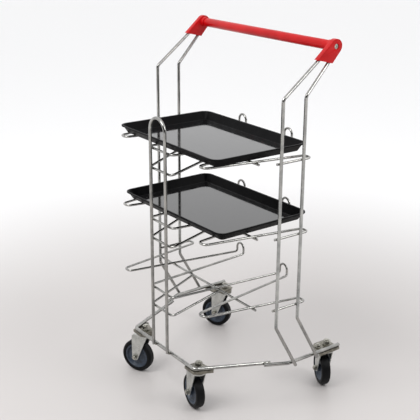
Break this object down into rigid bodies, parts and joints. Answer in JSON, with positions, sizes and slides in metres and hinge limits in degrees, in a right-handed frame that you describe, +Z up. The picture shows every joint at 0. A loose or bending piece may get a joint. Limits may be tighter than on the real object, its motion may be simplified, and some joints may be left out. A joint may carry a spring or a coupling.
{
  "type": "wire tray trolley",
  "caption": "Welded wire salon trolley with shelf levels, lift-out trays, a push handle and swivel casters.",
  "frame": {"origin": "on the floor, at the middle of the four caster kingpins", "axes": "+Z up, front (the side with the arch) towards -Y, push handle towards +Y, +X to the right"},
  "size_m": [0.6051, 0.4614, 1.022],
  "materials": {
    "zinc_wire": "bright zinc plating",
    "red_handle": "moulded, semi-gloss",
    "fastener_steel": "zinc plated",
    "tray_black": "glossy",
    "bracket_zinc": "yellowish zinc plating",
    "fork_zinc": "zinc plated sheet",
    "wheel_core": "moulded",
    "tyre": "smooth rubber"
  },
  "bodies": {
    "frame": {"base_front_wire": "zinc_wire", "base_bar_left": "zinc_wire", "base_bar_right": "zinc_wire", "front_arch": "zinc_wire", "post_front_left": "zinc_wire", "post_front_right": "zinc_wire", "post_rear_left": "zinc_wire", "post_rear_right": "zinc_wire", "shelf_wire_bottom": "zinc_wire", "shelf_wire_middle": "zinc_wire", "shelf_wire_top": "zinc_wire", "cross_wire_bottom": "zinc_wire", "cross_wire_middle": "zinc_wire", "cross_wire_top": "zinc_wire", "brace_wire_bottom": "zinc_wire", "brace_wire_middle": "zinc_wire", "brace_wire_top": "zinc_wire", "grip_tube": "red_handle", "handle_end_left": "red_handle", "handle_end_right": "red_handle", "grip_core": "fastener_steel", "handle_screws": "fastener_steel", "kingpin_nuts": "fastener_steel", "bracket_bolts": "fastener_steel", "kingpin_front_left": "fastener_steel", "kingpin_front_right": "fastener_steel", "kingpin_rear_right": "fastener_steel", "kingpin_rear_left": "fastener_steel", "bracket_front_left": "bracket_zinc", "bracket_front_right": "bracket_zinc", "bracket_rear_right": "bracket_zinc", "bracket_rear_left": "bracket_zinc", "swivel_head_front_left": "bracket_zinc", "swivel_head_front_right": "bracket_zinc", "swivel_head_rear_right": "bracket_zinc", "swivel_head_rear_left": "bracket_zinc"},
    "tray_middle": {"tray_middle": "tray_black"},
    "tray_top": {"tray_top": "tray_black"},
    "fork_front_left": {"fork_front_left": "fork_zinc", "axle_front_left": "fastener_steel", "bearing_balls_front_left": "fastener_steel"},
    "wheel_front_left": {"wheel_core_front_left": "wheel_core", "tyre_front_left": "tyre"},
    "fork_front_right": {"fork_front_right": "fork_zinc", "axle_front_right": "fastener_steel", "bearing_balls_front_right": "fastener_steel"},
    "wheel_front_right": {"wheel_core_front_right": "wheel_core", "tyre_front_right": "tyre"},
    "fork_rear_right": {"fork_rear_right": "fork_zinc", "axle_rear_right": "fastener_steel", "bearing_balls_rear_right": "fastener_steel"},
    "wheel_rear_right": {"wheel_core_rear_right": "wheel_core", "tyre_rear_right": "tyre"},
    "fork_rear_left": {"fork_rear_left": "fork_zinc", "axle_rear_left": "fastener_steel", "bearing_balls_rear_left": "fastener_steel"},
    "wheel_rear_left": {"wheel_core_rear_left": "wheel_core", "tyre_rear_left": "tyre"}
  },
  "joints": [
    {"name": "tray_middle_lift", "type": "slide", "parent": "frame", "child": "tray_middle", "axis": [0, 0, 1], "range_m": [0, 0.1]},
    {"name": "tray_top_lift", "type": "slide", "parent": "frame", "child": "tray_top", "axis": [0, 0, 1], "range_m": [0, 0.25]},
    {"name": "swivel_front_left", "type": "hinge", "parent": "frame", "child": "fork_front_left", "pos_m": [-0.135, -0.1865, 0.12], "axis": [0, 0, 1], "continuous": true},
    {"name": "roll_front_left", "type": "hinge", "parent": "fork_front_left", "child": "wheel_front_left", "pos_m": [-0.16196, -0.19965, 0.0495], "axis": [-0.4384, 0.8988, 0], "continuous": true},
    {"name": "swivel_front_right", "type": "hinge", "parent": "frame", "child": "fork_front_right", "pos_m": [0.135, -0.1865, 0.12], "axis": [0, 0, 1], "continuous": true},
    {"name": "roll_front_right", "type": "hinge", "parent": "fork_front_right", "child": "wheel_front_right", "pos_m": [0.10546, -0.18129, 0.0495], "axis": [0.1736, 0.9848, 0], "continuous": true},
    {"name": "swivel_rear_right", "type": "hinge", "parent": "frame", "child": "fork_rear_right", "pos_m": [0.243, 0.1865, 0.12], "axis": [0, 0, 1], "continuous": true},
    {"name": "roll_rear_right", "type": "hinge", "parent": "fork_rear_right", "child": "wheel_rear_right", "pos_m": [0.21604, 0.19965, 0.0495], "axis": [0.4384, 0.8988, 0], "continuous": true},
    {"name": "swivel_rear_left", "type": "hinge", "parent": "frame", "child": "fork_rear_left", "pos_m": [-0.243, 0.1865, 0.12], "axis": [0, 0, 1], "continuous": true},
    {"name": "roll_rear_left", "type": "hinge", "parent": "fork_rear_left", "child": "wheel_rear_left", "pos_m": [-0.26949, 0.17242, 0.0495], "axis": [-0.4695, 0.8829, 0], "continuous": true}
  ]
}
